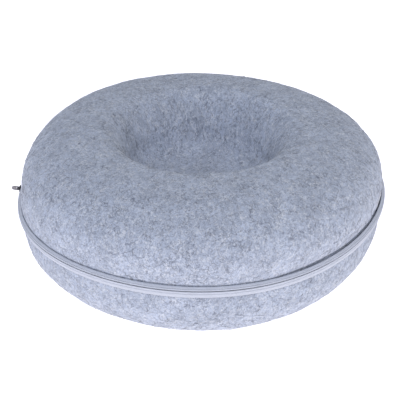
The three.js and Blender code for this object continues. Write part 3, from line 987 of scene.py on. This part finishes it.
# The pull stands on edge: its height goes up, its length out, and its thickness along the zip
pull_upright = Matrix(((0, 0, 1, 0), (1, 0, 0, 0), (0, 1, 0, 0), (0, 0, 0, 1)))
turned_crossbar = PULL_CROSSBAR / 2 * (math.cos(PULL_SWING) + math.sin(PULL_SWING))
pull_frame = (
    slider_frame
    @ Matrix.Translation((0, 0, SLIDER_PLATE + CLEARANCE + turned_crossbar))
    @ Matrix.Rotation(-PULL_SWING, 4, "Y")
    @ pull_upright
    @ Matrix.Translation((0, 0, -PULL_THICKNESS / 2))
)
pull = finished_part("pull", [tab], pull_frame)
satin_zinc = metal_material("pale satin zinc", PULL_COLOUR, roughness=0.38, grain_scale=(90, 600, 600))
pull.data.materials.append(satin_zinc)
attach(pull, "root")
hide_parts("zip_pull")

# Loose fibres: the longest and the darkest or palest fibres of the felt, which is a blend of dyed wool-like
# staples. They lie in short curls on its face, half worked in by the needling that made the sheet.
FIBRE_SIDES = 3
FIBRE_STEPS = 5

# Radius of the curl, how many degrees of it, and thickness
SHORT_FIBRES = [
    (0.0022, 200, 0.00032),
    (0.0035, 150, 0.00036),
    (0.0055, 110, 0.00040),
    (0.009, 80, 0.00042),
]
LONG_FIBRE = (0.0075, 150, 0.0005)
LONG_FIBRE_SHARE = 0.06

# Name, the half they lie on, which way its outside faces, how many
FIBRE_SETS = [("upper_fibres", upper_half, 1, 5200), ("lower_fibres", lower_half, -1, 3000)]

# Where they lie: clear of the zip and of the floor, and not on the joint, which faces the other half
FIBRES_ABOVE_SEAM = 0.009
FIBRES_BELOW_SEAM = 0.014
FIBRES_ABOVE_FLOOR = 0.015
JOINT_FACING = -0.75

# How each differs: how far its curl is drawn out and widened, and whether it is dark or pale
CURL_STRETCH = (0.7, 1.3)
CURL_WIDENING = (0.6, 1.2)
DARK_SHARE = 0.6
DARK_SHADES = (0, 0.25)
LIGHT_SHADES = (0.5, 0.85)
FIBRE_MOTTLE = 0.3
FIBRE_SEED = 7


def curled_fibre(radius, degrees, thickness):
    """A fibre as a thin three-sided thread, spun along an arc round Z and closed at its ends."""
    shape = bmesh.new()
    ring = bmesh.ops.create_circle(shape, segments=FIBRE_SIDES, radius=thickness / 2)["verts"]
    bmesh.ops.rotate(shape, verts=ring, matrix=Matrix.Rotation(math.pi / 2, 3, "X"))
    bmesh.ops.translate(shape, verts=ring, vec=(radius, 0, 0))
    bmesh.ops.spin(
        shape,
        geom=shape.verts[:] + shape.edges[:],
        axis=(0, 0, 1),
        cent=(0, 0, 0),
        angle=math.radians(degrees),
        steps=FIBRE_STEPS,
        use_duplicate=False,
    )
    bmesh.ops.holes_fill(shape, edges=shape.edges, sides=FIBRE_SIDES)
    bmesh.ops.recalc_face_normals(shape, faces=shape.faces)
    middle = Matrix.Rotation(-math.radians(degrees) / 2, 4, "Z")
    bmesh.ops.transform(shape, matrix=Matrix.Translation((-radius, 0, 0)) @ middle, verts=shape.verts)
    for face in shape.faces:
        face.smooth = len(face.verts) == 4
    mesh = bpy.data.meshes.new("fibre")
    shape.to_mesh(mesh)
    shape.free()
    return mesh


def holds_fibres(face, outside):
    """Whether a face lies on the outside of its half, clear of the zip and of the floor."""
    height = face.center.z
    above_zip = height > SEAM_HEIGHT + FIBRES_ABOVE_SEAM
    below_zip = FIBRES_ABOVE_FLOOR < height < SEAM_HEIGHT - FIBRES_BELOW_SEAM
    return face.normal.z * outside > JOINT_FACING and (above_zip or below_zip)


def places_on(piece, outside, count, chance):
    """Random frames, Z out of the felt, spread evenly over the outside of a felt half."""
    faces = [face for face in piece.data.polygons if holds_fibres(face, outside)]
    chosen = chance.choices(faces, weights=[face.area for face in faces], k=count)
    frames = []
    for face in chosen:
        turn = Matrix.Rotation(chance.uniform(0, math.tau), 4, "Z")
        size = Matrix.Diagonal((chance.uniform(*CURL_STRETCH), chance.uniform(*CURL_WIDENING), 1, 1))
        outward = face.normal.to_track_quat("Z", "Y").to_matrix().to_4x4()
        frames.append(Matrix.Translation(face.center) @ outward @ turn @ size)
    return frames


def fibre_material():
    """Each fibre in its own shade between the felt's darkest and palest, faintly mottled."""
    material, tree, shader = new_material("loose fibre")
    shade = add_node(tree, "ShaderNodeAttribute", attribute_name="fibre_shade").outputs["Fac"]
    mottle = noise_value(tree, object_place(tree), scale=900.0, detail=2.0)
    lightness = reckoned(tree, "MULTIPLY_ADD", mottle, FIBRE_MOTTLE, shade)
    tree.links.new(blended(tree, lightness, FELT_DARK, FELT_LIGHT), shader.inputs["Base Color"])
    shader.inputs["Roughness"].default_value = 0.85
    shader.inputs["Specular IOR Level"].default_value = 0.2
    return material


loose_fibre = fibre_material()
chance = random.Random(FIBRE_SEED)
for fibres_name, felt_half, outside, fibre_count in FIBRE_SETS:
    frames = places_on(felt_half, outside, fibre_count, chance)
    long_count = round(fibre_count * LONG_FIBRE_SHARE)
    groups = [(LONG_FIBRE, frames[:long_count])]
    for i, curl in enumerate(SHORT_FIBRES):
        groups.append((curl, frames[long_count + i :: len(SHORT_FIBRES)]))
    joined_groups = bmesh.new()
    for curl, group in groups:
        part = joined_copies("fibres_part", curled_fibre(*curl), group)
        joined_groups.from_mesh(part.data)
        bpy.data.objects.remove(part)
    fibre_mesh = bpy.data.meshes.new(fibres_name)
    joined_groups.to_mesh(fibre_mesh)
    joined_groups.free()
    shades = fibre_mesh.attributes.new("fibre_shade", "FLOAT", "POINT")
    corners_each = FIBRE_SIDES * (FIBRE_STEPS + 1)
    for i in range(0, len(fibre_mesh.vertices), corners_each):
        shade_range = DARK_SHADES if chance.random() < DARK_SHARE else LIGHT_SHADES
        value = chance.uniform(*shade_range)
        for corner in range(i, i + corners_each):
            shades.data[corner].value = value
    fibre_mesh.materials.append(loose_fibre)
    fibres = link_object(fibres_name, fibre_mesh)
    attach(fibres, "root")
